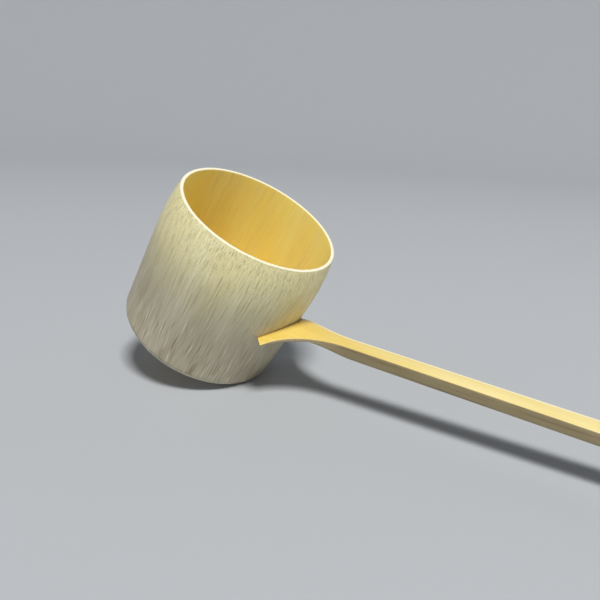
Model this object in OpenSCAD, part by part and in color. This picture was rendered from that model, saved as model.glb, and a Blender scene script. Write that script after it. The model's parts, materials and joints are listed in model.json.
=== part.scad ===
// Hishaku: a tea water dipper of bamboo, lying on a table as it is put down.
// The cup is one length of culm whose own node is its floor. The handle is a split
// of a wider culm, skin side up, whose crowned fishtail head hugs the cup, with a
// tenon through the wall and a thin wedge driven over the tenon from inside the cup.
// Sizes are in millimetres.

/* [Cup] */
// Outside diameter of the wall, where the lip starts to curve in
cup_d = 58; // [52:0.5:70]
// How much narrower the outside is at the foot, on the radius
foot_in = 0.9; // [0:0.05:1.2]
// Height from the foot ring to the mouth
cup_h = 51.4; // [44:0.5:66]
// How far the outside curves in at the mouth, on the radius
lip_in = 1.65; // [0.8:0.05:2.2]
// Thickness of the wall at the mouth
lip_wall = 1.15; // [0.8:0.05:2]
// How far below the mouth the outside starts to curve in
lip_run = 16; // [9:0.5:18]
// Bevel on both edges of the lip
lip_bevel = 0.25; // [0.1:0.05:0.35]
// Radius of the round edge at the foot
foot_round = 3.2; // [1:0.2:4]

/* [Floor] */
// Thickness of the node's wall at the rim of its crown
floor_t = 2.6; // [1.6:0.1:5]
// Rise of the crown in the middle of the floor
crown_rise = 0.8; // [0.2:0.1:1.5]
// Distance from the wall to the crown
crown_in = 9.3; // [6.5:0.1:14]
// Radius of the hollow corner between floor and wall
floor_round = 4; // [1:0.25:6]
// Width of the flat ring that the cup stands on
foot_land = 3.9; // [2:0.1:9]
// Depth of the hollow inside that ring
dish_depth = 1.6; // [0.4:0.1:2.4]

/* [Handle] */
// Length from the cup's wall to the tip, along the crest of the upper face
handle_len = 298; // [240:1:360]
// Thickness at the crest
handle_t = 4.25; // [3.8:0.05:6]
// Width at the neck, where the head runs into the shaft
neck_w = 7.7; // [6.4:0.1:9]
// Width at the free end
end_w = 10; // [7.8:0.1:13]
// Angle by which the handle rises from the plane of the mouth
handle_rise = 25.2; // [16:0.1:30]
// Depth below the mouth at which the crest meets the cup's wall
joint_drop = 22.4; // [20:0.1:26]
// Radius of the culm that the handle is split from, on its skin side
skin_r = 35; // [32:1:60]
// How far the crest of that skin lies to one side of the handle's middle line
crest_shift = 1; // [0:0.25:2]
// Bevel along the two upper edges
arris = 0.35; // [0.2:0.05:0.5]
// Bevel along the two lower edges
low_arris = 0.35; // [0.1:0.05:0.6]
// Length of the slanting cut at the free end, on the underside
end_bevel = 5; // [1:0.5:9]

/* [Head] */
// Radius of the curve from the shaft out to each wing
flare_r = 30; // [27:0.5:36]
// Distance from the cup's wall to the start of that curve
flare_len = 22; // [20:0.5:24]
// How far round the cup each wing reaches, in degrees
wing_angle = 27.5; // [25:0.5:30]
// Slant of the cut at the wing tips, in degrees from the handle's length
tip_slant = 42; // [30:1:60]
// Thickness of the wing's edge at its tip and at the neck
wing_edge = 0.9; // [0.7:0.05:1.2]
// Radius of the hollow gouged under each wing, at its thin end
gouge_r = 24; // [22:0.5:26]
// How much nearer to the cup the middle of that hollow lies than the flare's
gouge_shift = 16; // [13:0.5:19]
// Slope from the hollow down to the keel in the middle, in degrees
gouge_slope = 30; // [24:1:38]

/* [Handle node] */
// Distance from the cup's wall to the handle's node
node_at = 152; // [100:1:200]
// Height of the node's ridge over the skin
ridge_rise = 0.55; // [0.2:0.05:0.95]
// Radius of that ridge's cross-section
ridge_r = 2.4; // [1.2:0.1:4]
// Height of the sheath scar over the skin
scar_rise = 0.3; // [0.1:0.05:0.9]
// Radius of the scar's cross-section
scar_r = 0.7; // [0.5:0.05:1.5]
// Distance from the ridge to the scar
scar_step = 4.2; // [3:0.1:8]
// Height of what is left of the diaphragm under the lower face
web_rise = 0.3; // [0.1:0.05:0.6]
// Radius of that remnant's cross-section
web_r = 7; // [3:0.5:12]

/* [Tenon and wedge] */
// Width of the tenon
tenon_w = 11; // [8:0.5:13]
// Thickness of the tenon
tenon_t = 1.6; // [1.2:0.1:1.8]
// Depth of the tenon's top under the handle's upper face
tenon_drop = 1.4; // [1.3:0.05:1.5]
// Radius of the tenon's rounded end, seen from above
tenon_end_r = 9; // [7:0.25:14]
// How far the tenon stands out of the wall inside the cup
tenon_out = 2.4; // [1.8:0.1:4]
// Width of the wedge
wedge_w = 9; // [6:0.5:10.5]
// Thickness of the wedge at its thin end
wedge_tip_t = 0.55; // [0.4:0.05:0.6]
// Slope of the wedge's upper face, in degrees
wedge_slope = 3.5; // [2:0.25:5]
// How far the wedge's thick end stands out of the wall inside the cup
wedge_out = 1.4; // [0.8:0.1:2.2]
// Clearance between pieces that touch
seat_gap = 0.02; // [0.01:0.01:0.1]

/* [Hidden] */

cup_r = cup_d / 2;
foot_r = cup_r - foot_in;
lip_r = cup_r - lip_in;
bore_r = lip_r - lip_wall;
shoulder_z = cup_h - lip_run;
shoulder_r = (lip_run * lip_run + lip_in * lip_in) / (2 * lip_in);

foot_edge_x = foot_r - foot_round;
floor_z = dish_depth + floor_t;
dish_r = foot_edge_x - foot_land;
dish_curve_r = (dish_r * dish_r + dish_depth * dish_depth) / (2 * dish_depth);
crown_run = bore_r - crown_in;
crown_curve_r = (crown_run * crown_run + crown_rise * crown_rise) / (2 * crown_rise);

joint_h = cup_h - joint_drop;
// Radius of the cup's outside at the height of the joint
joint_r = foot_r + (cup_r - foot_r) * (joint_h - foot_round) / (shoulder_z - foot_round);
// Length of the joint through the wall, along the handle
joint_depth = (joint_r - bore_r) / cos(handle_rise);

taper_angle = atan((end_w - neck_w) / 2 / (handle_len - flare_len));

// A wing's tip on the cup's wall, in the handle's axes
tip_y = joint_r * sin(wing_angle);
tip_fall = crown(tip_y);
tip_back = (joint_r * (1 - cos(wing_angle)) + tip_fall * sin(handle_rise)) / cos(handle_rise);
// Half way out along a wing, where its cutters lean as the crown does
wing_y = (neck_w / 2 + tip_y) / 2;
wing_sag = crown_sag(wing_y - neck_w / 2);
// The head's block reaches past both wings, on all sides
head_half_w = neck_w / 2 + flare_r;
head_reach = tip_back + 6;
head_depth = handle_t + tip_fall;

// The foot's round edge and the heel of the end cut both touch the table:
// cup_tilt is the lean of the cup that brings them level
heel_x = joint_r + (handle_len - end_bevel) * cos(handle_rise) + handle_t * sin(handle_rise);
heel_z = joint_h + (handle_len - end_bevel) * sin(handle_rise) - handle_t * cos(handle_rise);
heel_run = heel_x - foot_edge_x;
heel_rise = heel_z - foot_round;
cup_tilt = atan2(heel_rise, heel_run) + asin(foot_round / norm([heel_run, heel_rise]));
stand_z = foot_round * (1 - cos(cup_tilt)) + foot_edge_x * sin(cup_tilt);

// Ends of the dipper as it lies, measured from the middle of the foot
tip_x = joint_r + handle_len * cos(handle_rise);
tip_z = joint_h + handle_len * sin(handle_rise);
far_end = tip_x * cos(cup_tilt) + tip_z * sin(cup_tilt);
near_end = -foot_edge_x * cos(cup_tilt) + foot_round * sin(cup_tilt) - foot_round;
stand_x = -(far_end + near_end) / 2;

over = 1;         // how far cutters run past what they cut
coarse_fn = 96;   // sides of small rounds
fine_fn = 256;    // sides of the cup's rounds
long_fn = 2048;   // sides of curves with a very large radius

// Fall of the crowned upper face at a distance from its crest
function crown(y) = skin_r - sqrt(skin_r * skin_r - y * y);
// Gap between that face and its tangent, measured along the tangent
function crown_sag(run) = run * run / (2 * skin_r);

// Puts a piece from the cup's own axes on to the table
module on_table() {
    translate([stand_x, 0, stand_z])
        rotate([0, cup_tilt, 0])
            children();
}

// Puts a piece from the handle's axes on to the cup: x runs out along the handle's
// upper face, z is square to that face, and the origin is on the cup's wall
module at_joint() {
    translate([joint_r, 0, joint_h])
        rotate([0, -handle_rise, 0])
            children();
}

// The reverse of at_joint, for shapes of the cup that cut the handle
module from_joint() {
    rotate([0, handle_rise, 0])
        translate([-joint_r, 0, -joint_h])
            children();
}

// Extrudes a side view, drawn as x and z, to the given width about the middle
module side_view(width) {
    translate([0, width / 2, 0])
        rotate([90, 0, 0])
            linear_extrude(width)
                children();
}

// Puts a shape drawn for the side of +Y on one side of the handle, 1 or -1
module on_side(side) {
    mirror([0, side < 0 ? 1 : 0, 0])
        children();
}

// Half section of the cup's outside
module cup_outside() {
    difference() {
        union() {
            square([foot_edge_x, foot_round + over]);
            translate([foot_edge_x, foot_round])
                circle(r = foot_round, $fn = coarse_fn);
            polygon([
                [0, foot_round], [foot_r, foot_round], [cup_r, shoulder_z], [0, shoulder_z]
            ]);
            intersection() {
                translate([0, shoulder_z])
                    square([cup_r, lip_run]);
                translate([cup_r - shoulder_r, shoulder_z])
                    circle(r = shoulder_r, $fn = long_fn);
            }
        }
        translate([lip_r, cup_h])
            rotate(45)
                square(lip_bevel * sqrt(2), center = true);
    }
}

// Half section of the space inside the cup
module cup_inside() {
    difference() {
        union() {
            translate([0, floor_z + floor_round])
                square([bore_r, cup_h]);
            translate([0, floor_z])
                square([bore_r - floor_round, floor_round + over]);
            translate([bore_r - floor_round, floor_z + floor_round])
                circle(r = floor_round, $fn = coarse_fn);
            translate([bore_r, cup_h])
                rotate(45)
                    square(lip_bevel * sqrt(2), center = true);
        }
        translate([0, floor_z + crown_rise - crown_curve_r])
            circle(r = crown_curve_r, $fn = long_fn);
    }
}

module cup_section() {
    difference() {
        cup_outside();
        cup_inside();
        translate([0, dish_depth - dish_curve_r])
            circle(r = dish_curve_r, $fn = long_fn);
    }
}

// Side view of the slot through the cup's wall: the tenon's room below, the wedge's above
module mortise_side() {
    low = -tenon_drop - tenon_t - seat_gap;
    room = joint_depth + tenon_out;
    polygon([
        [over, low],
        [over, wedge_top(0) + seat_gap],
        [0, wedge_top(0) + seat_gap],
        [-room, wedge_top(room) + seat_gap],
        [-room, low]
    ]);
}

module cup() {
    color([0.87, 0.80, 0.60])
        difference() {
            rotate_extrude($fn = fine_fn)
                cup_section();
            at_joint()
                side_view(tenon_w + 2 * seat_gap)
                    mortise_side();
        }
}

// Height of the wedge's upper face at a depth inwards from the cup's outside
function wedge_top(depth) = -tenon_drop + wedge_tip_t + depth * tan(wedge_slope);

// The rough split: the culm's skin above, a planed face below, and the node's marks.
// Outside the keel its head is deeper, where the crowned wings hang lower
module handle_blank() {
    length = head_reach + handle_len + end_bevel;
    intersection() {
        union() {
            translate([-head_reach, -head_half_w, -handle_t])
                cube([length, 2 * head_half_w, handle_t + over]);
            for (side = [-1, 1])
                on_side(side)
                    translate([-head_reach, wing_y, -head_depth])
                        cube([
                            head_reach + flare_len, head_half_w - wing_y, head_depth + over
                        ]);
        }
        skin_culm()
            cylinder(r = skin_r, h = length, $fn = long_fn);
    }
    node_marks();
}

// Lays a shape along the middle of the culm whose skin is the handle's upper face
module skin_culm(from = -head_reach) {
    translate([from, -crest_shift, -skin_r])
        rotate([0, 90, 0])
            children();
}

// The ridge and the sheath scar across the skin, and the diaphragm's remnant below
module node_marks() {
    rings = [[0, ridge_r, ridge_rise], [scar_step, scar_r, scar_rise]];
    intersection() {
        translate([node_at - handle_t, -end_w, -handle_t / 2])
            cube([scar_step + 2 * handle_t, 2 * end_w, handle_t]);
        skin_culm(node_at)
            for (ring = rings)
                translate([0, 0, ring[0]])
                    rotate_extrude($fn = long_fn)
                        translate([skin_r + ring[2] - ring[1], 0])
                            circle(r = ring[1], $fn = coarse_fn);
    }
    intersection() {
        translate([node_at - web_r, -end_w, -handle_t - over])
            cube([2 * web_r, 2 * end_w, handle_t]);
        translate([node_at, -end_w, -handle_t - web_rise + web_r])
            rotate([-90, 0, 0])
                cylinder(r = web_r, h = 2 * end_w, $fn = fine_fn);
    }
}

// Cuts the curved flank from the shaft out to one wing
module flare_cutter() {
    translate([flare_len, neck_w / 2 + flare_r, -head_depth - over])
        cylinder(r = flare_r, h = head_depth + 2 * over, $fn = fine_fn);
}

// Places a cutter at the edge of the wing on one side, 1 or -1, leaning as the
// crowned face does there
module at_wing(side) {
    from_crest = wing_y + side * crest_shift;
    translate([0, wing_y, -crown(from_crest)])
        rotate([-asin(from_crest / skin_r), 0, 0])
            translate([0, -wing_y, 0])
                children();
}

// Bevels the upper edge of one flank with a cone whose point lies below the handle
module flare_bevel(side) {
    edge_r = flare_r + arris + wing_sag;
    at_wing(side)
        translate([flare_len, neck_w / 2 + flare_r, 0])
            rotate_extrude($fn = fine_fn)
                polygon([[0, over], [edge_r + over, over], [0, -edge_r]]);
}

// Hollows the underside of one wing to a thin edge and leaves a keel in the middle
module wing_gouge(side) {
    thin_z = -wing_edge - wing_sag;
    deep_z = -head_depth - over;
    at_wing(side)
        translate([flare_len - gouge_shift, neck_w / 2 + flare_r, 0])
            rotate_extrude($fn = fine_fn)
                polygon([
                    [0, thin_z],
                    [gouge_r, thin_z],
                    [gouge_r + (thin_z - deep_z) / tan(gouge_slope), deep_z],
                    [0, deep_z]
                ]);
}

// Cuts one long side of the shaft, with its upper and lower bevels
module side_cutter() {
    clear = head_half_w;
    high = -arris - crown(neck_w / 2);
    low = -handle_t + low_arris;
    translate([flare_len, neck_w / 2, 0])
        rotate([90, 0, 90 + taper_angle])
            linear_extrude(handle_len)
                polygon([
                    [high - over, over],
                    [0, high],
                    [0, low],
                    [-low_arris - over, -handle_t - over],
                    [clear, -handle_t - over],
                    [clear, over]
                ]);
}

// Cuts one wing off at its tip
module tip_cutter() {
    reach = 3 * head_reach;
    translate([-tip_back, tip_y, -head_depth - over])
        rotate([0, 0, tip_slant])
            translate([-reach / 2, 0, 0])
                cube([reach, reach, head_depth + 2 * over]);
}

// The slanting cut at the free end
module end_cutter() {
    slant = end_bevel / handle_t;
    side_view(2 * end_w)
        polygon([
            [handle_len + slant * over, over],
            [handle_len - slant * (handle_t + over), -handle_t - over],
            [handle_len + end_bevel + over, -handle_t - over],
            [handle_len + end_bevel + over, over]
        ]);
}

// Plan of a tenon or wedge as wide as asked, with its rounded end at the given depth
module tenon_plan(width, tip_depth, embed) {
    intersection() {
        translate([-tip_depth, -width / 2])
            square([tip_depth + embed, width]);
        translate([tenon_end_r - tip_depth, 0])
            circle(r = tenon_end_r, $fn = fine_fn);
    }
}

module tenon() {
    translate([0, 0, -tenon_drop - tenon_t])
        linear_extrude(tenon_t)
            tenon_plan(tenon_w, joint_depth + tenon_out, over);
}

module handle() {
    color([0.93, 0.79, 0.42]) {
        difference() {
            handle_blank();
            from_joint()
                rotate_extrude($fn = fine_fn)
                    offset_wall();
            for (side = [-1, 1])
                on_side(side) {
                    flare_cutter();
                    flare_bevel(side);
                    wing_gouge(side);
                    side_cutter();
                    tip_cutter();
                }
            end_cutter();
        }
        tenon();
    }
}

// Half section of the cup's wall as the handle's seat: its outside plus the clearance
module offset_wall() {
    slope = (cup_r - foot_r) / (shoulder_z - foot_round);
    polygon([
        [0, 0],
        [foot_r + seat_gap - slope * foot_round, 0],
        [cup_r + seat_gap, shoulder_z],
        [0, shoulder_z]
    ]);
}

// The wedge fills the slot over the tenon, and its thick end stands in the cup
module tenon_wedge() {
    depth = joint_depth + wedge_out;
    color([0.90, 0.83, 0.58])
        intersection() {
            side_view(wedge_w)
                polygon([
                    [-seat_gap, -tenon_drop + seat_gap],
                    [-seat_gap, wedge_top(0)],
                    [-depth, wedge_top(depth)],
                    [-depth, -tenon_drop + seat_gap]
                ]);
            translate([0, 0, -handle_t])
                linear_extrude(2 * handle_t)
                    tenon_plan(wedge_w, depth, over);
        }
}

on_table() cup();
on_table() at_joint() handle();
on_table() at_joint() tenon_wedge();
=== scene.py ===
# %% [markdown]
# A bamboo water dipper, lying on a table as it is put down. Its imported model is
# the frame of this lesson: every piece is in metres and already in its place.
# We load it with its record, and build the finish of each piece around it.

# %% Load the frame
import json
import math

import bmesh
import bpy
import numpy as np
from mathutils import Euler, Matrix, Vector


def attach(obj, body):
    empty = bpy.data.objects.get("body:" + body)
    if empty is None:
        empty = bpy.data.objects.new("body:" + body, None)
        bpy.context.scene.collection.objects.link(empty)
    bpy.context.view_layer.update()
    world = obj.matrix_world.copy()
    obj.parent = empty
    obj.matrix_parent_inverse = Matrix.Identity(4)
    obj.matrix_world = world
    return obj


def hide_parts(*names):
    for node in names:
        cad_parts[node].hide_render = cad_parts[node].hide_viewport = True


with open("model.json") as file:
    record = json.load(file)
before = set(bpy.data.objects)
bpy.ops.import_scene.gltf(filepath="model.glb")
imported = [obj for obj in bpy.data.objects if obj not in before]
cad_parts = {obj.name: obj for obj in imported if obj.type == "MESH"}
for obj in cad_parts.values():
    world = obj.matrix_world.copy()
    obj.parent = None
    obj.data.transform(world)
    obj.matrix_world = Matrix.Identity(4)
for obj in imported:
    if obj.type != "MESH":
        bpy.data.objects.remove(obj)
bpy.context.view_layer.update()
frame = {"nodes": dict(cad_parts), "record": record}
MM = 0.001
print("pieces in the frame:", sorted(frame["nodes"]))

# %% [markdown]
# The cup leans on the edge of its foot, so its pieces are easiest to draw in axes
# of their own: the origin in the middle of the foot and Z along the cup. The two
# flat faces in the record, foot and mouth, say where those axes lie.

# %% The cup's own axes
mounts = {mount["name"]: mount for mount in frame["record"]["mounts"]}
cup_axis = Vector(mounts["mouth_rim"]["axis"])


def middle_of(mount_name):
    """A mount's place, moved sideways on to the plane through the cup and handle."""
    x, _, z = mounts[mount_name]["pos_m"]
    return Vector((x, 0, z))


foot_middle = middle_of("foot_ring")
cup_h = (middle_of("mouth_rim") - foot_middle).dot(cup_axis) / MM
cup_tilt = math.atan2(cup_axis.x, cup_axis.z)
cup_place = Matrix.Translation(foot_middle) @ Matrix.Rotation(cup_tilt, 4, "Y")
print(f"cup {cup_h:.1f} mm high, leaning {math.degrees(cup_tilt):.1f} degrees")

# %% [markdown]
# The handle rises from the plane of the mouth by a fixed angle and leaves the wall a
# fixed depth below the mouth. Its axes start there, on the crest of its upper face,
# with X running out along the handle and Z square to that face. Sizes of the object
# are in millimetres from here on, as a maker would read them off a rule.

# %% The handle's own axes
cup_r = 29.0
foot_in = 0.9
foot_round = 3.2
lip_run = 16.0
handle_rise = math.radians(25.2)
joint_drop = 22.4

foot_r = cup_r - foot_in
shoulder_z = cup_h - lip_run
joint_h = cup_h - joint_drop
wall_slope = (cup_r - foot_r) / (shoulder_z - foot_round)
joint_r = foot_r + wall_slope * (joint_h - foot_round)
joint_point = Vector((joint_r * MM, 0, joint_h * MM))
handle_in_cup = Matrix.Translation(joint_point) @ Matrix.Rotation(-handle_rise, 4, "Y")
handle_place = cup_place @ handle_in_cup
print(f"handle starts {joint_h:.1f} mm up the wall, {joint_r:.2f} mm from the axis")

# %% [markdown]
# The camera stands where the photographer stood: in front, above, and a little past
# the cup along the handle. The picture is 600 pixels wide, and the view turns by a
# few degrees about its own axis because the photograph does.

# %% Camera
eye_from_foot = Vector((136.95, -165.53, 81.38)) * MM
view_heading = math.radians(29.98)
view_drop = math.radians(17.81)
view_roll = math.radians(3.18)
focal_pixels = 620.4
picture_pixels = 600
sensor_width = 36.0

camera_data = bpy.data.cameras.new("photo_camera")
camera_data.sensor_width = sensor_width
camera_data.lens = sensor_width * focal_pixels / picture_pixels
camera_data.clip_start = 0.01
camera = bpy.data.objects.new("photo_camera", camera_data)
bpy.context.scene.collection.objects.link(camera)
look = Euler((math.pi / 2 - view_drop, 0, view_heading)).to_matrix()
look = look @ Matrix.Rotation(view_roll, 3, "Z")
camera.matrix_world = Matrix.Translation(foot_middle + eye_from_foot) @ look.to_4x4()
bpy.context.scene.camera = camera
print(f"camera with a {camera_data.lens:.1f} mm lens")

# %% [markdown]
# The studio is a plain pale floor that curves up into a wall all round, so no edge
# shows from any side. Its middle lies towards the camera, so that the wall rises soon
# behind the dipper and fills the top of the picture.

# %% Floor and backdrop
floor_radius = 1.6
bend_radius = 0.7
wall_top = 3.0
bend_steps = 16
studio_segments = 96
studio_shift = 0.8
first_ring = 0.3
studio_grey = (0.43, 0.45, 0.48)


def studio_outline():
    """Half section of the studio, as distance and height, without its middle."""
    outline = [(first_ring, 0.0), (floor_radius, 0.0)]
    for step in range(1, bend_steps + 1):
        turn = math.pi / 2 * step / bend_steps
        outline.append((
            floor_radius + bend_radius * math.sin(turn),
            bend_radius * (1 - math.cos(turn)),
        ))
    outline.append((floor_radius + bend_radius, wall_top))
    return outline


def paper_studio(name):
    """The floor and its wall as one round mesh, with its middle moved to the front."""
    studio = bmesh.new()
    middle = Vector((math.sin(view_heading), -math.cos(view_heading), 0)) * studio_shift
    rings = []
    for distance, height in studio_outline():
        ring = []
        for i in range(studio_segments):
            turn = 2 * math.pi * i / studio_segments
            spot = Vector((distance * math.cos(turn), distance * math.sin(turn), height))
            ring.append(studio.verts.new(middle + spot))
        rings.append(ring)
    studio.faces.new(rings[0])
    for near, far in zip(rings, rings[1:]):
        for i in range(studio_segments):
            k = (i + 1) % studio_segments
            studio.faces.new((near[k], near[i], far[i], far[k])).smooth = True
    data = bpy.data.meshes.new(name)
    studio.to_mesh(data)
    studio.free()
    piece = bpy.data.objects.new(name, data)
    bpy.context.scene.collection.objects.link(piece)
    return piece


def plain_material(name, colour, roughness):
    """A dull material of one colour, for the studio only."""
    material = bpy.data.materials.new(name)
    material.use_nodes = True
    surface = material.node_tree.nodes["Principled BSDF"]
    surface.inputs["Base Color"].default_value = (*colour, 1)
    surface.inputs["Roughness"].default_value = roughness
    return material


backdrop = paper_studio("paper_studio")
backdrop.data.materials.append(plain_material("pale_paper", studio_grey, 0.9))
print("backdrop of", len(backdrop.data.polygons), "faces")

# %% [markdown]
# The photograph's shadows say where its lamp is: above, in front and towards the
# handle, so that its light reaches the head under the leaning cup and the far wall
# inside it. The world fills the shade with weak cool light.

# %% Lamps and world
lamp_towards = Vector((0.40, -0.36, 1.0))
lamp_away = 2.4
lamp_size = 0.62
lamp_watts = 77.0
lamp_colour = (1.0, 0.985, 0.95)
air_strength = 0.05
air_colour = (0.93, 0.96, 1.0)


def soft_lamp(name, place, aim, size, watts, colour):
    """A square lamp of the given size that looks at a point."""
    lamp_data = bpy.data.lights.new(name, "AREA")
    lamp_data.size = size
    lamp_data.energy = watts
    lamp_data.color = colour
    lamp = bpy.data.objects.new(name, lamp_data)
    lamp.location = place
    lamp.rotation_euler = (Vector(aim) - Vector(place)).to_track_quat("-Z", "Y").to_euler()
    bpy.context.scene.collection.objects.link(lamp)
    return lamp


cup_middle = foot_middle + cup_axis * cup_h * MM / 2
soft_lamp("key_lamp", foot_middle + lamp_towards * lamp_away, cup_middle,
          lamp_size, lamp_watts, lamp_colour)

world = bpy.data.worlds.new("studio_air")
world.use_nodes = True
air = world.node_tree.nodes["Background"]
air.inputs["Color"].default_value = (*air_colour, 1)
air.inputs["Strength"].default_value = air_strength
bpy.context.scene.world = world
bpy.context.scene.view_settings.view_transform = "Standard"
print(f"one soft lamp of {lamp_watts:.0f} W, {lamp_size} m wide, and a weak world")

# %% [markdown]
# A cup like this begins as a length of culm, sawn so that one node stays in it as
# the floor. It is round, so a lathe-like sweep of its half section makes it: we write
# the section as arcs and straight stretches, then turn it about the cup's axis. That
# keeps rows of square faces, which take shading and fine relief better than the
# long triangles of a model that was cut out of solids.

# %% Sizes of the cup's section
lip_in = 1.65
lip_wall = 1.15
lip_soft = 0.3
floor_t = 2.6
crown_rise = 0.8
crown_in = 9.3
floor_round = 4.0
foot_land = 3.9
dish_depth = 1.6

lip_r = cup_r - lip_in
bore_r = lip_r - lip_wall
foot_edge = foot_r - foot_round
dish_r = foot_edge - foot_land
floor_z = dish_depth + floor_t
crown_run = bore_r - crown_in
print(f"mouth {2 * lip_r:.1f} mm outside and {2 * bore_r:.1f} mm inside")

# %% Arcs and lines of a section


def line(start, end, steps):
    """Points from start towards end, without the last one."""
    return [
        (start[0] + (end[0] - start[0]) * i / steps, start[1] + (end[1] - start[1]) * i / steps)
        for i in range(steps)
    ]


def arc(middle, radius, from_degrees, to_degrees, steps):
    """Points along an arc, without the last one."""
    points = []
    for i in range(steps):
        turn = math.radians(from_degrees + (to_degrees - from_degrees) * i / steps)
        points.append((middle[0] + radius * math.cos(turn), middle[1] + radius * math.sin(turn)))
    return points


def dome(run, rise, base, steps):
    """A flat dome from its middle out to its edge, as distance and height."""
    radius = (run * run + rise * rise) / (2 * rise)
    return [
        (run * i / steps, base + rise - radius + math.sqrt(radius**2 - (run * i / steps) ** 2))
        for i in range(steps)
    ]


print("lines, arcs and domes can be drawn")

# %% Half section of the cup
shoulder_radius = (lip_run**2 + lip_in**2) / (2 * lip_in)
shoulder_end = math.degrees(math.asin((lip_run - lip_soft) / shoulder_radius))
cup_stretches = {
    "dish": dome(dish_r, dish_depth, 0, 26),
    "foot": line((dish_r, 0), (foot_edge, 0), 6),
    "foot_edge": arc((foot_edge, foot_round), foot_round, -90, 0, 12),
    "wall": line((foot_r, foot_round), (cup_r, shoulder_z), 44),
    "shoulder": arc((cup_r - shoulder_radius, shoulder_z), shoulder_radius, 0, shoulder_end, 26),
    "lip": (
        arc((lip_r - lip_soft, cup_h - lip_soft), lip_soft, 0, 90, 5)
        + line((lip_r - lip_soft, cup_h), (bore_r + lip_soft, cup_h), 3)
        + arc((bore_r + lip_soft, cup_h - lip_soft), lip_soft, 90, 180, 5)
    ),
    "inside": line((bore_r, cup_h - lip_soft), (bore_r, floor_z + floor_round), 56),
    "corner": arc((bore_r - floor_round, floor_z + floor_round), floor_round, 0, -90, 12),
    "floor": (
        line((bore_r - floor_round, floor_z), (crown_run, floor_z), 8)
        + dome(crown_run, crown_rise, floor_z, 24)[::-1]
    ),
}
cup_outline = [point for stretch in cup_stretches.values() for point in stretch]
print("half section of", len(cup_outline), "points")

# %% [markdown]
# Nothing cut with a knife is quite true. A few slow waves round the wall, a few
# hundredths of a millimetre deep, stand for the flats that the scraper leaves. They
# are sums of cosines with a fixed seed, so the cup comes out the same each time.

# %% Slow waves of a scraped surface
wave_seed = 58
wave_depth = 0.035
wave_fade = 8
wave_source = np.random.default_rng(wave_seed)
scraper_waves = [
    (count, wave_source.uniform(0, 2 * math.pi), wave_source.uniform(-0.08, 0.08))
    for count in (3, 5, 8, 13, 17, 22, 29, 37)
]


def scraped(turn, height):
    """Depth of the scraper's waves at an angle round the cup and a height."""
    waves = [
        math.cos(count * turn + start + drift * height) / math.sqrt(count)
        for count, start, drift in scraper_waves
    ]
    return wave_depth * sum(waves)


print(f"wave depth at the handle {scraped(0, joint_h):+.3f} mm")

# %% [markdown]
# A mesh is a list of corners and a list of faces. The next helpers make one from
# plain Python lists, lay it in the axes of the cup or the handle, hide the CAD node it
# stands for and hang it on a body.

# %% From lists to a piece


def new_piece(name, corners, faces, axes):
    """A piece from corners in millimetres in the given axes, with its faces turned out."""
    data = bpy.data.meshes.new(name)
    data.from_pydata([axes @ (Vector(corner) * MM) for corner in corners], [], faces)
    work = bmesh.new()
    work.from_mesh(data)
    bmesh.ops.recalc_face_normals(work, faces=work.faces)
    work.to_mesh(data)
    work.free()
    piece = bpy.data.objects.new(name, data)
    bpy.context.scene.collection.objects.link(piece)
    return piece


def combine(piece, other, operation):
    """Cuts one closed piece from another, or joins them, and removes the second."""
    step = piece.modifiers.new("combine", "BOOLEAN")
    step.operation = operation
    step.solver = "EXACT"
    step.object = other
    bpy.context.view_layer.update()
    result = piece.evaluated_get(bpy.context.evaluated_depsgraph_get())
    data = bpy.data.meshes.new_from_object(result)
    piece.modifiers.clear()
    piece.data = data
    bpy.data.objects.remove(other)


def finish_piece(piece, node, sharp_degrees=38):
    """Smooth shading between sharp edges, and the piece's place in the frame."""
    piece.data.shade_smooth()
    piece.data.set_sharp_from_angle(angle=math.radians(sharp_degrees))
    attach(piece, "root")
    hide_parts(node)
    print(piece.name, "has", len(piece.data.polygons), "faces")


print("pieces are made in millimetres and stored in metres, at a scale of", MM)

# %% The cup as a turned mesh
cup_segments = 288


def turned_cup():
    """Corners and faces of the cup: rings of corners, closed at both middles."""
    corners, faces = [], []
    rings = cup_outline[1:]
    for radius, height in rings:
        for segment in range(cup_segments):
            turn = 2 * math.pi * segment / cup_segments
            near = min(1.0, radius / bore_r)
            r = radius + near**wave_fade * scraped(turn, height)
            corners.append((r * math.cos(turn), r * math.sin(turn), height))
    for ring in range(len(rings) - 1):
        for segment in range(cup_segments):
            here, after = segment, (segment + 1) % cup_segments
            low, high = ring * cup_segments, (ring + 1) * cup_segments
            faces.append((low + here, low + after, high + after, high + here))
    under, over = len(corners), len(corners) + 1
    corners += [(0, 0, cup_outline[0][1]), (0, 0, cup_outline[-1][1])]
    last = (len(rings) - 1) * cup_segments
    for segment in range(cup_segments):
        after = (segment + 1) % cup_segments
        faces.append((under, after, segment))
        faces.append((over, last + segment, last + after))
    return corners, faces


culm_cup = new_piece("culm_cup", *turned_cup(), cup_place)
print("turned cup with", len(culm_cup.data.vertices), "corners")

# %% [markdown]
# The handle is split from a wide culm and worked with a knife, so its upper face is
# crowned like the culm and its head spreads into two thin wings that are scribed to
# the cup. We describe it by four rules: how wide it is, how high its upper and lower
# faces lie, and where it meets the wall. Then we sweep a row of sections along it.

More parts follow.
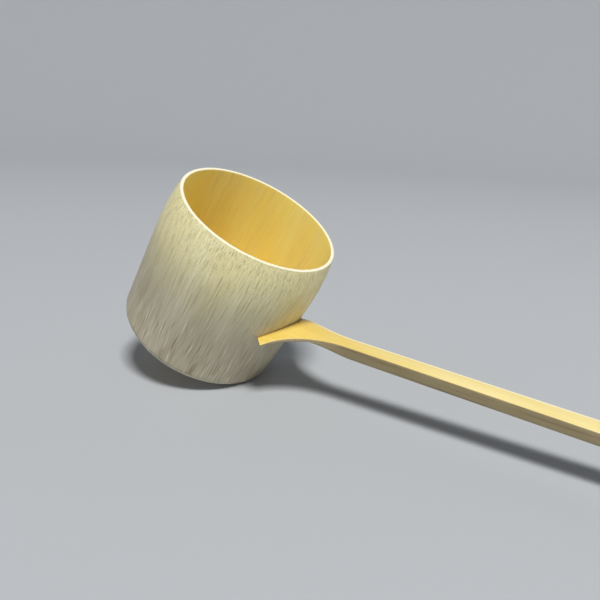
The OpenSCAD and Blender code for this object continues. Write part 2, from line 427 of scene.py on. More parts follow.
# %% Sizes of the handle
handle_len = 298.0
handle_t = 4.25
neck_w = 7.7
end_w = 10.0
skin_r = 35.0
crest_shift = 1.0
arris = 0.35
end_bevel = 5.0
flare_r = 30.0
flare_len = 22.0
wing_angle = math.radians(27.5)
tip_slant = math.radians(42)
wing_edge = 0.9
gouge_r = 24.0
gouge_shift = 16.0
gouge_slope = math.radians(30)
gouge_run = 4.0
gouge_soft = 0.9
side_lean = 0.8
gouge_ease = 8.0
node_at = 152.0
ridge_rise = 0.55
ridge_reach = 1.9
scar_rise = 0.3
scar_reach = 0.55
scar_step = 4.2
hollow_depth = 0.12
hollow_reach = 1.3
hollow_shift = 0.4
web_rise = 0.3
web_reach = 2.4
seat_gap = 0.02

neck_half = neck_w / 2
tip_y = joint_r * math.sin(wing_angle)


def crown(y):
    """Fall of the upper face at a distance from the crest of the skin."""
    return skin_r - math.sqrt(skin_r**2 - y * y)


tip_back = (
    joint_r * (1 - math.cos(wing_angle)) + crown(tip_y) * math.sin(handle_rise)
) / math.cos(handle_rise)
wing_y = (neck_half + tip_y) / 2
wing_sag = (wing_y - neck_half) ** 2 / (2 * skin_r)
print(f"wings reach {tip_y:.1f} mm to each side and {tip_back:.1f} mm back")

# %% [markdown]
# A maker scribes the head to the cup: the end is cut until it touches the wall all
# along. In code, we look for the place along the handle where a point across it and
# below its crest meets the wall's radius, and come closer to it in three steps.

# %% Where the handle meets the wall
contact_steps = 3


def wall_radius(turn, height):
    """Outside of the cup's wall, with the scraper's waves."""
    return foot_r + wall_slope * (height - foot_round) + scraped(turn, height)


def contact_x(y, z):
    """How far along the handle the wall lies, at a place across and up."""
    x = 0.0
    for _ in range(contact_steps):
        height = joint_h + x * math.sin(handle_rise) + z * math.cos(handle_rise)
        r = wall_radius(math.atan2(y, joint_r), height) + seat_gap
        x = (math.sqrt(r * r - y * y) - joint_r + z * math.sin(handle_rise)) / math.cos(handle_rise)
    return x


def start_x(y, z):
    """Start of the head: the wall, or the slanting cut at a wing's tip."""
    return max(contact_x(y, z), (abs(y) - tip_y) / math.tan(tip_slant) - tip_back)


print(f"the wall lies at {contact_x(0, 0):+.2f} mm in the middle and "
      f"{contact_x(tip_y, 0):+.2f} mm at a wing's tip")

# %% [markdown]
# The other rules are sums of plain shapes. An arc and a straight taper give each side.
# The upper face is the round skin, with smooth bumps for the ridge, the scar and the
# hollow between them. The lower face is flat, and rises in a slope under the wings.

# %% Width and faces of the handle


def half_width(x):
    """Half the width of the handle, from its wings to its free end."""
    if x < flare_len:
        return neck_half + flare_r - math.sqrt(flare_r**2 - (flare_len - x) ** 2)
    return neck_half + (end_w - neck_w) / 2 * (x - flare_len) / (handle_len - flare_len)


def ease(share):
    """A smooth rise from 0 to 1 while share goes from 0 to 1."""
    share = min(1.0, max(0.0, share))
    return share * share * (3 - 2 * share)


def bump(x, middle, reach, rise):
    """A smooth ridge across the handle."""
    return rise * math.exp(-(((x - middle) / reach) ** 2))


def top_z(x, y):
    """Height of the upper face."""
    ridge = bump(x, node_at, ridge_reach, ridge_rise)
    scar = bump(x, node_at + scar_step, scar_reach, scar_rise)
    hollow = bump(x, node_at + scar_step / 2 + hollow_shift, hollow_reach, hollow_depth)
    return ridge + scar - hollow - crown(y + crest_shift)


def bottom_z(x, y):
    """Height of the lower face: flat, and gouged thin under the wings."""
    flat = -handle_t - bump(x, node_at, web_reach, web_rise)
    across = abs(y)
    from_crest = wing_y + math.copysign(crest_shift, y)
    lean = math.asin(from_crest / skin_r)
    away = math.hypot(x - flare_len + gouge_shift, neck_half + flare_r - across)
    thin_to = gouge_r + gouge_run * ease(x / gouge_ease)
    depth = wing_edge + wing_sag + max(0.0, away - thin_to) * math.tan(gouge_slope)
    hollow = -crown(from_crest) - (across - wing_y) * math.tan(lean) - depth / math.cos(lean)
    if across > wing_y:
        return hollow
    near = max(0.0, 1 - abs(hollow - flat) / gouge_soft)
    return max(hollow, flat) + near * near * gouge_soft / 4


print(f"thickness at a wing's tip {top_z(0, tip_y) - bottom_z(0, tip_y):.2f} mm")

# %% [markdown]
# A sweep is a row of closed sections joined by bands of faces. It suits a split of
# bamboo, because every change along it is a rule: we only ask the rules for a width
# and two heights at each place. Near the wall the sections bend back to follow the
# head, and near the free end they slant with the cut.

# %% Corner between a wing's tip and its flank
corner_step = 0.005
corner_x = -tip_back
while half_width(corner_x) - tip_y > (corner_x + tip_back) * math.tan(tip_slant):
    corner_x += corner_step
corner_y = half_width(corner_x)
print(f"corner {corner_x:.2f} mm along and {corner_y:.2f} mm out")

# %% Places of the sections
end_run = 15.0
head_step = 0.35
head_stations = 80
fine_step = 0.3
long_step = 2.0
node_zone = 9.0
zone_shift = 2.0
end_gap = 0.01


def stations():
    """Places of the sections: close together at the head, the node and the end."""
    places = [head_step * i for i in range(head_stations)]
    while places[-1] < handle_len - end_gap:
        x = places[-1]
        close = abs(x - node_at - zone_shift) < node_zone or x > handle_len - end_run
        places.append(min(handle_len, x + (fine_step if close else long_step)))
    return places


print(len(stations()), "sections along the handle")

# %% One section of the handle
seat_run = 12.0
head_columns = 26
tip_columns = 6
round_steps = 3
side_steps = 4
fit_steps = 3
arris_share = 0.3


def section(place):
    """One closed section: its points, and how many lie on a face and on a side."""
    start_share = max(0.0, 1 - place / seat_run) ** 2
    end_share = max(0.0, 1 - (handle_len - place) / end_run)
    edge_x = place + corner_x * start_share
    wide = half_width(edge_x)
    thick = top_z(edge_x, wide) - bottom_z(edge_x, wide)
    soft = min(arris, arris_share * thick)
    flat = 1 - soft / wide

    def at(across, share, inset=0.0):
        """A point, by its place across and between the upper face and the lower."""
        x, y = place, across * wide
        for _ in range(fit_steps):
            high, low = top_z(x, y) - inset, bottom_z(x, y) + inset
            z = high + (low - high) * share
            x = place + start_x(across * corner_y, z) * start_share
            x += z * end_bevel / handle_t * end_share
        lean = side_lean * ease(x / flare_len) * (top_z(x, y) - z) / handle_t
        return x, y - across * lean, z

    def rounded(side, share):
        """The soft edge between a face and a side, from the face outwards."""
        turns = [math.pi / 2 * i / round_steps for i in range(1, round_steps + 1)]
        return [
            at(side * (flat + (1 - flat) * math.sin(turn)), share, soft * (1 - math.cos(turn)))
            for turn in turns
        ]

    tip = tip_y / corner_y
    inner = [tip * i / head_columns for i in range(head_columns + 1)]
    outer = [tip + (1 - tip) * i / tip_columns for i in range(1, tip_columns + 1)]
    columns = [-f for f in outer[::-1] + inner[:0:-1]] + inner + outer
    top = [at(f * flat, 0) for f in columns]
    low = [at(f * flat, 1) for f in columns[::-1]]
    right, left = [
        rounded(side, 0)
        + [at(side, i / side_steps, soft) for i in range(1, side_steps)]
        + rounded(side, 1)[::-1]
        for side in (1, -1)
    ]
    return top + right + low + left[::-1], len(top), len(right)


print("points in a section:", len(section(0)[0]))

# %% The handle as a sweep of sections


def swept_handle():
    """Corners and faces of the handle, closed at both ends."""
    corners, faces, start = [], [], []
    for place in stations():
        points, top_count, side_count = section(place)
        start.append(len(corners))
        corners += points
    count = len(points)
    for here, after in zip(start, start[1:]):
        for i in range(count):
            k = (i + 1) % count
            faces.append((here + i, here + k, after + k, after + i))
    low_start = top_count + side_count
    for base in (start[0], start[-1]):
        for i in range(top_count - 1):
            low = low_start + top_count - 1 - i
            faces.append((base + i, base + i + 1, base + low - 1, base + low))
        right = [base + i for i in range(top_count - 1, low_start + 1)]
        left = [base + i for i in range(low_start + top_count - 1, count)] + [base]
        faces += [tuple(right), tuple(left)]
    return corners, faces


split_handle = new_piece("split_handle", *swept_handle(), handle_place)
print("handle sweep with", len(split_handle.data.vertices), "corners")

# %% [markdown]
# The joint is the part that takes skill: a tenon goes through a slot in the wall and
# a thin wedge is driven over it from inside the cup. The slot, the tenon and the wedge
# share one plan, narrower at its rounded inner end.

# %% Sizes of the joint
tenon_w = 11.0
tenon_t = 1.6
tenon_drop = 1.4
tenon_end_r = 9.0
tenon_out = 2.4
wedge_w = 9.0
wedge_tip_t = 0.55
wedge_slope = math.radians(3.5)
wedge_out = 1.4
joint_depth = (joint_r - bore_r) / math.cos(handle_rise)
print(f"the wall is {joint_depth:.2f} mm deep along the tenon")

# %% Plans and slabs
plan_steps = 14
tenon_root = 2.0


def tenon_plan(width, tip_depth, embed):
    """Outline of the tenon or the wedge from above, with its rounded inner end."""
    half = width / 2
    middle = tenon_end_r - tip_depth
    reach = math.asin(half / tenon_end_r)
    points = [(embed, half)]
    for i in range(plan_steps + 1):
        turn = reach - 2 * reach * i / plan_steps
        points.append((middle - tenon_end_r * math.cos(turn), tenon_end_r * math.sin(turn)))
    points.append((embed, -half))
    return points


def slab(plan, low, high):
    """A closed slab over a plan, between two heights or rules for heights."""
    below = [(x, y, low(x) if callable(low) else low) for x, y in plan]
    above = [(x, y, high(x) if callable(high) else high) for x, y in plan]
    n = len(plan)
    faces = [tuple(range(n)), tuple(range(2 * n - 1, n - 1, -1))]
    faces += [(i, (i + 1) % n, n + (i + 1) % n, n + i) for i in range(n)]
    return below + above, faces


def wedge_top(x):
    """Height of the wedge's upper face, which rises towards the inside of the cup."""
    return -tenon_drop + seat_gap + wedge_tip_t - x * math.tan(wedge_slope)


print(f"the wedge is {wedge_top(-joint_depth) - wedge_top(0) + wedge_tip_t:.2f} mm thick inside the wall")

# %% The tenon joins the handle
tenon_end = joint_depth + tenon_out
tenon = new_piece(
    "tenon",
    *slab(tenon_plan(tenon_w, tenon_end, tenon_root), -tenon_drop - tenon_t, -tenon_drop),
    handle_place,
)
combine(split_handle, tenon, "UNION")
print("handle with its tenon:", len(split_handle.data.polygons), "faces")

# %% The slot through the wall, and the wedge
slot_half = tenon_w / 2 + seat_gap
slot_plan = [
    (tenon_root, slot_half), (-tenon_end, slot_half),
    (-tenon_end, -slot_half), (tenon_root, -slot_half),
]
slot_cutter = new_piece(
    "slot_cutter",
    *slab(slot_plan, -tenon_drop - tenon_t - seat_gap, lambda x: wedge_top(min(x, 0)) + seat_gap),
    handle_place,
)
combine(culm_cup, slot_cutter, "DIFFERENCE")

wedge_sliver = new_piece(
    "wedge_sliver",
    *slab(
        tenon_plan(wedge_w, joint_depth + wedge_out, -seat_gap), -tenon_drop + seat_gap, wedge_top
    ),
    handle_place,
)
print("slot cut and wedge driven")

# %% [markdown]
# Two things in the finish depend on the shape and not on the place alone: a pale band
# painted along an edge as a highlight, and brown painted shade on the head by the wall.
# We write both distances on the corners of the mesh, and the material reads them back
# as attributes.

# %% Distances written on the handle


def mark_points(piece, axes, name, rule):
    """Writes a number on each corner of a mesh, from its place in the given axes."""
    back = axes.inverted()
    places = [back @ corner.co / MM for corner in piece.data.vertices]
    marks = piece.data.attributes.new(name, "FLOAT", "POINT")
    marks.data.foreach_set("value", [rule(*place) for place in places])


mark_points(split_handle, handle_place, "from_flank", lambda x, y, z: half_width(x) - abs(y))
mark_points(split_handle, handle_place, "from_wall", lambda x, y, z: x - contact_x(
    min(max(y, -corner_y), corner_y), z))
print("marks on the handle:", [mark.name for mark in split_handle.data.attributes][-2:])

# %% [markdown]
# Bamboo is a bundle of strands. Seen end on they are brown dots, and cut lengthwise
# they are streaks, so one solid pattern that runs through the whole piece gives every
# face its right look: dots on a sawn end, short flecks where the lip curves in, and long
# streaks down the wall. The nodes are written by short helpers, so that each material
# below reads like a recipe.

# %% Helpers that write shader nodes


def srgb(red, green, blue):
    """A colour as a paint chart gives it, 0 to 255, in the linear values of a shader."""
    parts = [c / 255 for c in (red, green, blue)]
    return (*[c / 12.92 if c <= 0.04045 else ((c + 0.055) / 1.055) ** 2.4 for c in parts], 1)


def feed(tree, value, socket):
    """Links an output to a socket, or sets a plain value on it."""
    if isinstance(value, bpy.types.NodeSocket):
        tree.links.new(value, socket)
    else:
        socket.default_value = value


def add_node(tree, kind, inputs, **settings):
    """A node of the given kind, with its settings and what goes into it."""
    made = tree.nodes.new("ShaderNode" + kind)
    for name, value in settings.items():
        setattr(made, name, value)
    for name, value in inputs.items():
        feed(tree, value, made.inputs[name])
    return made


def calc(tree, operation, *values):
    """One step of arithmetic."""
    inputs = dict(enumerate(values))
    return add_node(tree, "Math", inputs, operation=operation).outputs[0]


def step_up(tree, value, low, high, start=0.0, end=1.0):
    """A smooth rise from start to end while the value goes from low to high."""
    inputs = {"Value": value, "From Min": low, "From Max": high, "To Min": start, "To Max": end}
    made = add_node(tree, "MapRange", inputs, interpolation_type="SMOOTHSTEP")
    return made.outputs["Result"]


def mix(tree, share, first, second, blend="MIX"):
    """A mixture of two colours."""
    inputs = {0: share, 6: first, 7: second}
    return add_node(tree, "Mix", inputs, data_type="RGBA", blend_type=blend).outputs[2]


def new_group(name, inputs, outputs):
    """A node group with named inputs and outputs, and its two end nodes."""
    tree = bpy.data.node_groups.new(name, "ShaderNodeTree")
    for label, kind in inputs.items():
        tree.interface.new_socket(label, in_out="INPUT", socket_type="NodeSocket" + kind)
    for label, kind in outputs.items():
        tree.interface.new_socket(label, in_out="OUTPUT", socket_type="NodeSocket" + kind)
    return tree, tree.nodes.new("NodeGroupInput"), tree.nodes.new("NodeGroupOutput")


def use_group(tree, group, inputs):
    """A group placed in a material."""
    return add_node(tree, "Group", inputs, node_tree=group)


print("shader helpers are ready")

# %% [markdown]
# All three pieces need the same two effects, so each is a node group that is built
# once. A strand is a cell of a Voronoi pattern, drawn long by dividing the place by
# the strand's length, and a slow noise bends the rows a little. Grain is plain noise,
# stretched for fine lines and nearly round for slow clouds of tone.

# %% Strands and grain as node groups
drift_scale = 0.09
drift_reach = 1.1
line_stretch = (2.6, 2.6, 0.07)
cloud_stretch = (0.12, 0.12, 0.035)
strand_edge, strand_core = 0.5, 0.12
noise_low, noise_high = 0.3, 0.7


def strand_group():
    """Strands along Z: how deep a point lies in one, and that strand's own tone."""
    tree, given, result = new_group(
        "culm_strands",
        {"Place": "Vector", "Size": "Float", "Length": "Float"},
        {"Strand": "Float", "Tone": "Float"},
    )
    place = given.outputs["Place"]
    drift = add_node(tree, "TexNoise", {"Vector": place, "Scale": drift_scale, "Detail": 1.0})
    sideways = (drift_reach, drift_reach, 0.0)
    offset = add_node(
        tree, "VectorMath", {0: drift.outputs["Color"], 1: sideways}, operation="MULTIPLY")
    moved = add_node(tree, "VectorMath", {0: place, 1: offset.outputs[0]}, operation="ADD")
    size = given.outputs["Size"]
    scale = add_node(tree, "CombineXYZ", {0: size, 1: size, 2: given.outputs["Length"]})
    cells = add_node(
        tree, "VectorMath", {0: moved.outputs[0], 1: scale.outputs[0]}, operation="DIVIDE")
    near = add_node(tree, "TexVoronoi", {"Vector": cells.outputs[0], "Scale": 1.0})
    strand = step_up(tree, near.outputs["Distance"], strand_edge, strand_core)
    feed(tree, strand, result.inputs["Strand"])
    tone = add_node(tree, "SeparateColor", {0: near.outputs["Color"]})
    feed(tree, tone.outputs[0], result.inputs["Tone"])
    return tree


def grain_group():
    """Fine lines along Z and slow cloudy changes of tone, both 0 to 1."""
    tree, given, result = new_group(
        "culm_grain", {"Place": "Vector"}, {"Lines": "Float", "Clouds": "Float"})
    place = given.outputs["Place"]
    thin = add_node(tree, "VectorMath", {0: place, 1: line_stretch}, operation="MULTIPLY")
    lines = add_node(tree, "TexNoise", {"Vector": thin.outputs[0], "Scale": 1.0, "Detail": 3.0})
    share = step_up(tree, lines.outputs["Fac"], noise_low, noise_high)
    feed(tree, share, result.inputs["Lines"])
    wide = add_node(tree, "VectorMath", {0: place, 1: cloud_stretch}, operation="MULTIPLY")
    clouds = add_node(tree, "TexNoise", {"Vector": wide.outputs[0], "Scale": 1.0, "Detail": 2.0})
    share = step_up(tree, clouds.outputs["Fac"], noise_low, noise_high)
    feed(tree, share, result.inputs["Clouds"])
    return tree


strands_of = strand_group()
grain_of = grain_group()
print("node groups:", [group.name for group in bpy.data.node_groups])

# %% [markdown]
# Each material starts from where a point lies in the piece's own axes, so that the
# strands follow the wall of the leaning cup and run straight down the handle. The
# meshes could be unwrapped instead, but a solid pattern needs no seams and no image.

# %% Materials in a piece's own axes


def own_axes(tree, axes):
    """A point's place in the given axes, in millimetres."""
    inputs = {
        "Vector": add_node(tree, "TexCoord", {}).outputs["Object"],
        "Location": axes.translation,
        "Rotation": axes.to_euler(),
        "Scale": (MM, MM, MM),
    }
    return add_node(tree, "Mapping", inputs, vector_type="TEXTURE").outputs[0]


def distance_from_axis(tree, first, second):
    """Length of a vector with two given parts."""
    flat = add_node(tree, "CombineXYZ", {0: first, 1: second})
    return add_node(tree, "VectorMath", {0: flat.outputs[0]}, operation="LENGTH").outputs["Value"]


def distance_along(tree, along, place):
    """How far a point lies, either way, from a place along a piece."""
    return calc(tree, "ABSOLUTE", calc(tree, "SUBTRACT", along, place))


# Z runs out along the handle in these axes, X points down and Y across it
along_handle = handle_place @ Matrix.Rotation(math.pi / 2, 4, "Y")
print("axes along the handle:", [round(math.degrees(turn), 1) for turn in along_handle.to_euler()])

# %% Strands, relief and the start of a material


def strand_share(tree, place, size, length, low, high):
    """How much a strand shows: nothing between strands, and low to high inside them."""
    group = use_group(tree, strands_of, {"Place": place, "Size": size, "Length": length})
    share = step_up(tree, group.outputs["Tone"], 0.0, 1.0, low, high)
    return calc(tree, "MULTIPLY", group.outputs["Strand"], share)


def tint(tree, colour, tone, mask, strength):
    """A colour with some of a tone in it, where a mask lets it show."""
    return mix(tree, calc(tree, "MULTIPLY", mask, strength), colour, tone)


def relief(tree, height, depth_mm):
    """A surface normal from a height of 0 to 1 and its depth in millimetres."""
    inputs = {"Height": height, "Distance": depth_mm * MM, "Strength": 1.0}
    return add_node(tree, "Bump", inputs).outputs["Normal"]


def new_material(name):
    """An empty material, its shader and its tree."""
    material = bpy.data.materials.new(name)
    material.use_nodes = True
    return material, material.node_tree, material.node_tree.nodes["Principled BSDF"]


def finish_material(tree, surface, colour, strand, lines, smooth, rough, depth_mm):
    """Feeds a colour to the shader, with gloss and relief that follow the grain."""
    feed(tree, colour, surface.inputs["Base Color"])
    feed(tree, step_up(tree, lines, 0.0, 1.0, smooth, rough), surface.inputs["Roughness"])
    feed(tree, relief(tree, calc(tree, "ADD", strand, lines), depth_mm), surface.inputs["Normal"])


print("materials are mixed from", len(bpy.data.node_groups), "node groups")

# %% [markdown]
# The cup's skin has been scraped off, so its strands lie bare. Near the mouth the wall
# is straw coloured, and where it curves in, the strands are cut across and show as
# flecks. Towards the foot it is greyer, with brown and pale streaks; the grey is painted
# shade for the lower wall, which faces away from the lamp. Just above the foot's edge a
# pale line is a painted highlight on the rounded edge. Painting an image would do it
# too, but layers of one pattern in several sizes stay sharp at any distance.

# %% Outside of the cup
straw = srgb(252, 242, 182), srgb(254, 248, 197)
# Grey of the lower wall: painted shade, darker towards the foot
lower_wall_shade = srgb(184, 177, 152), srgb(199, 192, 168)
streak_brown = srgb(160, 138, 100)
fleck_brown = srgb(186, 164, 112)
dark_strand = srgb(124, 105, 76)
pale_strand = srgb(234, 229, 210)
wall_line = srgb(168, 149, 112)
# Pale line on the rounded foot edge: a painted highlight
foot_edge_highlight = srgb(244, 240, 222)
# Heights on the wall at which a layer begins to show and shows in full
grey_top, straw_from = 18.0, 51.0
fleck_zone = 30.0, 42.0
dark_zone = 30.0, 3.0
pale_zone = 36.0, 4.0
foot_zone = 2.2, 1.2
foot_start = 0.1, 0.7


def scraped_wall(tree, place, height, streak, grain):
    """Colour of the wall, from straw at the mouth to painted grey shade and brown at the foot, with a
    painted highlight on the foot's edge.
    """
    fleck = strand_share(tree, place, size=0.42, length=1.0, low=0.1, high=0.4)
    pale = strand_share(tree, place, size=0.6, length=11.0, low=0.0, high=0.95)
    brown = strand_share(tree, place, size=0.7, length=15.0, low=0.1, high=1.0)
    upper = mix(tree, grain.outputs["Clouds"], *straw)
    lower = mix(tree, grain.outputs["Clouds"], *lower_wall_shade)
    colour = mix(tree, step_up(tree, height, grey_top, straw_from), lower, upper)
    colour = mix(tree, streak, colour, streak_brown)
    colour = tint(tree, colour, fleck_brown, fleck, step_up(tree, height, *fleck_zone))
    colour = tint(tree, colour, dark_strand, brown, step_up(tree, height, *dark_zone))
    low_down = step_up(tree, height, *pale_zone, start=0.1, end=0.9)
    colour = tint(tree, colour, pale_strand, pale, low_down)
    colour = tint(tree, colour, wall_line, grain.outputs["Lines"], strength=0.28)
    # Painted highlight along the rounded edge of the foot
    above_ring = step_up(tree, height, *foot_start, end=0.55)
    return tint(tree, colour, foot_edge_highlight, step_up(tree, height, *foot_zone), above_ring)


print(f"the wall turns from grey to straw between {grey_top:.0f} and {straw_from:.0f} mm")

# %% [markdown]
# The inside is smooth, and light that bounces round in it makes it look golden. Its
# floor is the culm's own node, where the strands turn and tangle: a browner skin with
# curls in loose rings. A sine of the distance from the axis gives the rings, and noise
# shifts them until they no longer look drawn with a compass.

# %% Inside and floor of the cup
golden_bore = srgb(255, 234, 126), srgb(255, 240, 142)
bore_streak = srgb(226, 184, 94)
bore_line = srgb(222, 184, 96)
floor_tones = srgb(236, 202, 118), srgb(226, 186, 102)
curl_brown = srgb(186, 140, 76)
curl_edge, curl_core = 0.62, 0.4
curl_scale = 0.35
curl_shift = 16.0
ring_pitch = 1.1


def smooth_bore(tree, streak, grain):
    """Colour of the inner wall, with faint streaks and lines."""
    colour = mix(tree, grain.outputs["Clouds"], *golden_bore)
    colour = tint(tree, colour, bore_streak, streak, strength=0.3)
    return tint(tree, colour, bore_line, grain.outputs["Lines"], strength=0.1)


def node_floor(tree, place, radius):
    """Colour of the culm's node, with curled strands in loose rings."""
    inputs = {"Vector": place, "Scale": curl_scale, "Detail": 5.0, "Distortion": 1.8}
    curls = add_node(tree, "TexNoise", inputs).outputs["Fac"]
    ring_turn = calc(
        tree, "MULTIPLY_ADD", curls, curl_shift, calc(tree, "MULTIPLY", radius, ring_pitch))
    rings = step_up(tree, calc(tree, "SINE", ring_turn), -1.0, 1.0)
    curled = step_up(tree, curls, curl_edge, curl_core, end=0.4)
    return mix(tree, curled, mix(tree, rings, *floor_tones), curl_brown)


print(f"rings about {2 * math.pi / ring_pitch:.1f} mm apart on the floor")

# %% [markdown]
# Now the finishes are laid over each other, each in its own zone. A zone is a range of
# heights or of distances from the axis, and its border is a few tenths of a millimetre
# soft, because a knife never leaves a hard line between skin and cut.

# %% Bamboo of the cup
end_straw = srgb(244, 240, 216)
end_brown = srgb(206, 180, 126)
dish_brown = srgb(150, 118, 80)
in_dish = dish_r + 0.1, dish_r - 0.2
in_bore = bore_r + 0.25, bore_r - 0.05
over_floor = floor_z - 1.5, floor_z - 1.0
near_floor = floor_z + 3.4, floor_z + 1.3
at_lip = cup_h - 0.2, cup_h - 0.04
at_foot = 0.1, 0.03


def cup_material():
    """Wall, inside, floor, foot and sawn ends, each shown where it lies on the cup."""
    material, tree, surface = new_material("cup_bamboo")
    place = own_axes(tree, cup_place)
    parts = add_node(tree, "SeparateXYZ", {0: place})
    height = parts.outputs["Z"]
    radius = distance_from_axis(tree, parts.outputs["X"], parts.outputs["Y"])
    streak = strand_share(tree, place, size=0.48, length=16.0, low=0.15, high=0.65)
    grain = use_group(tree, grain_of, {"Place": place})

    outside = scraped_wall(tree, place, height, streak, grain)
    node_skin = node_floor(tree, place, radius)
    on_floor = step_up(tree, height, *near_floor)
    inside = mix(tree, on_floor, smooth_bore(tree, streak, grain), node_skin)
    dish = mix(tree, 0.35, node_skin, dish_brown)
    outside = mix(tree, step_up(tree, radius, *in_dish), outside, dish)
    within = step_up(tree, radius, *in_bore)
    colour = tint(tree, outside, inside, within, step_up(tree, height, *over_floor))

    on_ring = step_up(tree, radius, *in_dish[::-1])
    sawn_foot = calc(tree, "MULTIPLY", step_up(tree, height, *at_foot), on_ring)
    sawn = calc(tree, "MAXIMUM", step_up(tree, height, *at_lip), sawn_foot)
    colour = mix(tree, sawn, colour, mix(tree, streak, end_straw, end_brown))
    finish_material(tree, surface, colour, streak, grain.outputs["Lines"],
                    smooth=0.48, rough=0.6, depth_mm=0.02)
    return material


cup_bamboo = cup_material()
print(cup_bamboo.name, "has", len(cup_bamboo.node_tree.nodes), "nodes")

# %% [markdown]
# The handle keeps the culm's skin on its upper face, painted golden at the head and
# paler further out; the gold stands for warm light bounced from the cup. Below the skin
# lies flesh with coarse brown strands, darkened as painted shade, so the material asks
# how deep a point lies under the round skin, and each face gets what a cut at that
# depth would bare. Half way along comes a node: a dull ridge, a pale bloom and the dark
# scar of the sheath that once grew there.

# %% Skin and node of the handle
# Gold at the head: painted light, for warm light bounced from the cup
bounce_gold_skin = srgb(226, 196, 91), srgb(232, 205, 108)
pale_skin = srgb(238, 220, 145), srgb(244, 229, 163)
skin_line = srgb(220, 178, 91)
skin_strand = srgb(248, 238, 199)
ridge_brown = srgb(206, 168, 98)
bloom_white = srgb(250, 246, 224)
scar_brown = srgb(132, 92, 50)
golden_to, pale_from = 2.0, 55.0
scar_edge = 0.55
bloom_edge = 0.3
ridge_fade = 2.4, 0.4
bloom_fade = 1.8, 0.6
scar_fade = 0.42, 0.12


def handle_skin(tree, along, wide, grain):
    """Colour of the upper face, away from the node."""
    near = mix(tree, grain.outputs["Clouds"], *bounce_gold_skin)
    far = mix(tree, grain.outputs["Clouds"], *pale_skin)
    # Gold near the head fading to pale: painted bounce light, not the skin's own colour
    colour = mix(tree, step_up(tree, along, golden_to, pale_from), near, far)
    colour = tint(tree, colour, skin_line, grain.outputs["Lines"], strength=0.3)
    return tint(tree, colour, skin_strand, wide, strength=0.3)


def node_marks(tree, along, colour):
    """The ridge, the bloom and the scar, drawn over the skin."""
    to_node = distance_along(tree, along, node_at)
    to_scar = distance_along(tree, along, node_at + scar_step + scar_edge)
    to_bloom = distance_along(tree, along, node_at + scar_step / 2 + bloom_edge)
    colour = mix(tree, step_up(tree, to_node, *ridge_fade, end=0.45), colour, ridge_brown)
    colour = mix(tree, step_up(tree, to_bloom, *bloom_fade, end=0.5), colour, bloom_white)
    return mix(tree, step_up(tree, to_scar, *scar_fade, end=0.85), colour, scar_brown)


print(f"scar line {node_at + scar_step + scar_edge:.1f} mm along the handle")

# %% Flesh and painted edge highlight of the handle
# Flesh darkened beyond its own colour: painted shade for the sides and the lower face
flesh_tones_with_shade = srgb(163, 147, 108), srgb(176, 160, 121)
web_brown = srgb(168, 124, 72)
fine_brown = srgb(128, 98, 60)
coarse_brown = srgb(134, 105, 66)
# Pale band along the far edge: a painted highlight
edge_highlight_straw = srgb(252, 246, 215)
# Brown by the wall: painted shade in the crevice between head and cup
crevice_shade_brown = srgb(150, 100, 40)
web_fade = 2.8, 1.0
fine_to, coarse_from = 0.8, 3.0
shade_reach = 0.9


def handle_flesh(tree, along, depth, strand, wide, grain):
    """Colour below the skin, darkened beyond its own colour as painted shade: fine dark strands first,
    and coarse ones deeper down.
    """
    colour = mix(tree, grain.outputs["Clouds"], *flesh_tones_with_shade)
    web = step_up(tree, distance_along(tree, along, node_at), *web_fade, end=0.6)
    colour = mix(tree, web, colour, web_brown)
    near_skin = step_up(tree, depth, coarse_from, fine_to, start=0.25)
    colour = tint(tree, colour, fine_brown, strand, near_skin)
    deep = step_up(tree, depth, fine_to, coarse_from, start=0.1, end=0.8)
    return tint(tree, colour, coarse_brown, wide, deep)


def painted_edge_highlight(tree, across, depth, colour):
    """A painted highlight: a pale band along one edge, wide there because the crest lies off the middle.
    """
    from_flank = add_node(tree, "Attribute", {}, attribute_name="from_flank").outputs["Fac"]
    band = step_up(tree, across, -1.0, 1.0, start=-0.3, end=1.1)
    highlight_share = step_up(tree, calc(tree, "SUBTRACT", from_flank, band), 0.25, -0.1)
    on_top = calc(tree, "MULTIPLY", highlight_share, step_up(tree, depth, 0.5, 0.3))
    return tint(tree, colour, edge_highlight_straw, on_top, strength=0.75)


def painted_wall_shade(tree, colour):
    """Brown painted shade on the head, close to the wall, in the crevice where it meets the cup."""
    from_wall = add_node(tree, "Attribute", {}, attribute_name="from_wall").outputs["Fac"]
    near_wall = step_up(tree, from_wall, shade_reach, 0.0)
    return tint(tree, colour, crevice_shade_brown, near_wall, strength=0.7)


# The brown by the wall is painted shade, in the crevice where the head meets the cup
print(f"the stain reaches {shade_reach} mm out from the wall")

# %% Bamboo of the handle


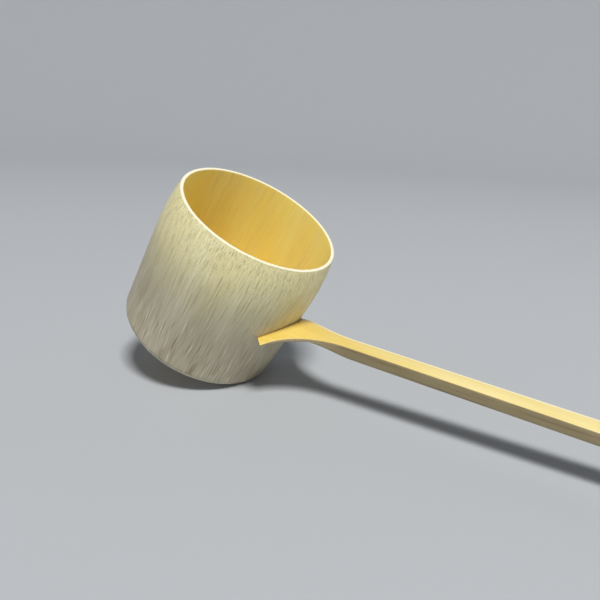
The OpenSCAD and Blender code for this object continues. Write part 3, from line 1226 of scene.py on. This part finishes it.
def handle_material():
    """Skin on top, flesh below it, a painted highlight along one edge and painted shade by the wall."""
    material, tree, surface = new_material("handle_bamboo")
    place = own_axes(tree, along_handle)
    parts = add_node(tree, "SeparateXYZ", {0: place})
    along, across = parts.outputs["Z"], parts.outputs["Y"]
    below_axis = calc(tree, "ADD", skin_r, calc(tree, "MULTIPLY", parts.outputs["X"], -1.0))
    from_crest = calc(tree, "ADD", across, crest_shift)
    depth = calc(tree, "SUBTRACT", skin_r, distance_from_axis(tree, below_axis, from_crest))
    strand = strand_share(tree, place, size=0.5, length=30.0, low=0.1, high=0.8)
    wide = strand_share(tree, place, size=0.9, length=50.0, low=0.0, high=0.9)
    grain = use_group(tree, grain_of, {"Place": place})

    skin = node_marks(tree, along, handle_skin(tree, along, wide, grain))
    flesh = handle_flesh(tree, along, depth, strand, wide, grain)
    colour = mix(tree, step_up(tree, depth, 0.04, 0.16), skin, flesh)
    colour = painted_wall_shade(tree, painted_edge_highlight(tree, across, depth, colour))
    finish_material(tree, surface, colour, strand, grain.outputs["Lines"],
                    smooth=0.4, rough=0.52, depth_mm=0.012)
    return material


handle_bamboo = handle_material()
print(handle_bamboo.name, "has", len(handle_bamboo.node_tree.nodes), "nodes")

# %% [markdown]
# The wedge is a sliver from the same stock, cut fresh with a knife on every side. It
# has no skin left, so it gets lighter flesh and short strands that show on all faces.

# %% Bamboo of the wedge
fresh_flesh = srgb(228, 196, 120), srgb(240, 212, 140)
fresh_strand = srgb(170, 124, 66)
fresh_line = srgb(198, 156, 88)


def wedge_material():
    """Fresh flesh with strands that run along the wedge."""
    material, tree, surface = new_material("wedge_bamboo")
    place = own_axes(tree, along_handle)
    strand = strand_share(tree, place, size=0.5, length=12.0, low=0.1, high=0.8)
    grain = use_group(tree, grain_of, {"Place": place})
    colour = mix(tree, strand, mix(tree, grain.outputs["Clouds"], *fresh_flesh), fresh_strand)
    colour = tint(tree, colour, fresh_line, grain.outputs["Lines"], strength=0.35)
    finish_material(tree, surface, colour, strand, grain.outputs["Lines"],
                    smooth=0.45, rough=0.58, depth_mm=0.012)
    return material


wedge_bamboo = wedge_material()
print(wedge_bamboo.name, "has", len(wedge_bamboo.node_tree.nodes), "nodes")

# %% [markdown]
# Last, each piece gets its material and takes its place in the frame. Nothing on a
# dipper moves, so all three ride on one body.

# %% Finish the pieces
for piece, node, finish_slot, material in (
    (culm_cup, "cup", "cup_bamboo", cup_bamboo),
    (split_handle, "handle", "handle_bamboo", handle_bamboo),
    (wedge_sliver, "tenon_wedge", "wedge_bamboo", wedge_bamboo),
):
    piece.data.materials.clear()
    piece.data.materials.append(material)
    finish_piece(piece, node)
